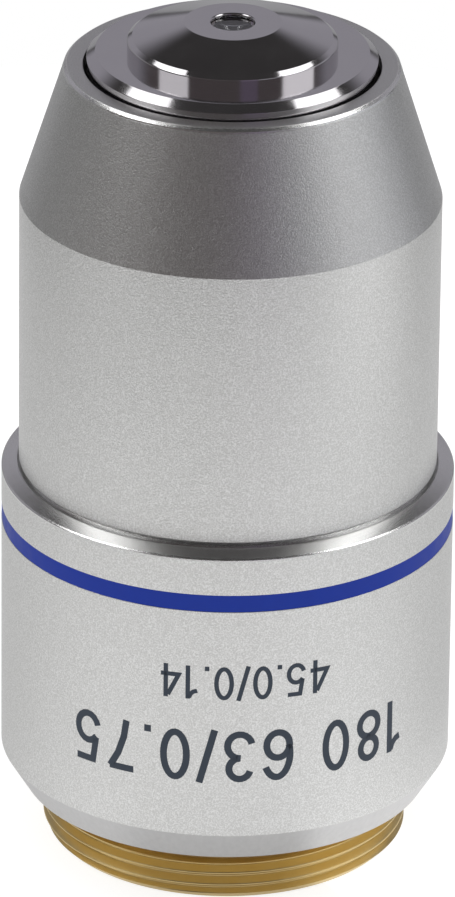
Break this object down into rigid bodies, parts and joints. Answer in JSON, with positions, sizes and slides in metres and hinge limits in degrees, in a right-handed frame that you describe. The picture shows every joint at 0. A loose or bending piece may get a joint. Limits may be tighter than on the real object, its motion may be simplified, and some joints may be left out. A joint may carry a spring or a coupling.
{
  "type": "microscope objective",
  "caption": "Spring-loaded high-power microscope objective: satin sleeves with a tapered nose, a blue band, a polished front cell that pushes in, and a brass mount thread.",
  "frame": {"origin": "on the optical axis, in the end face of the mount thread, which is what the objective stands on", "axes": "+Z along the optical axis, from the mount thread towards the front lens; -Y is the side that carries the printed figures"},
  "size_m": [0.025, 0.025, 0.0482],
  "materials": {
    "brass": "turned, bare",
    "satin_chrome": "satin, bead-blasted and plated",
    "polished_chrome": "polished, dark",
    "blue_enamel": "enamel filled into a groove",
    "steel": "drawn",
    "matt_black": "matt black",
    "optical_glass": "polished and coated"
  },
  "bodies": {
    "body": {"mount_tube": "brass", "lower_sleeve": "satin_chrome", "colour_band": "blue_enamel", "upper_sleeve": "satin_chrome", "barrel_stop_ring": "brass", "stop_lock_ring": "brass", "guide_screw": "steel", "nose_spring": "steel", "rear_glare_stop": "matt_black"},
    "nose": {"lens_barrel": "polished_chrome", "front_cell": "polished_chrome", "front_lens": "optical_glass", "meniscus_lens": "optical_glass", "meniscus_retainer": "matt_black", "first_doublet_cell": "brass", "first_doublet_upper_lens": "optical_glass", "first_doublet_lower_lens": "optical_glass", "front_spacer": "matt_black", "second_doublet_cell": "brass", "second_doublet_upper_lens": "optical_glass", "second_doublet_lower_lens": "optical_glass", "aperture_stop": "matt_black", "rear_spacer": "matt_black", "rear_doublet_cell": "brass", "rear_doublet_upper_lens": "optical_glass", "rear_doublet_lower_lens": "optical_glass", "barrel_lock_ring": "matt_black"}
  },
  "joints": [
    {"name": "nose_slide", "type": "slide", "parent": "body", "child": "nose", "axis": [0, 0, -1], "range_m": [0, 0.002], "stiffness_N_per_m": 350, "springref_m": -0.005, "deforming": ["nose_spring"]}
  ]
}
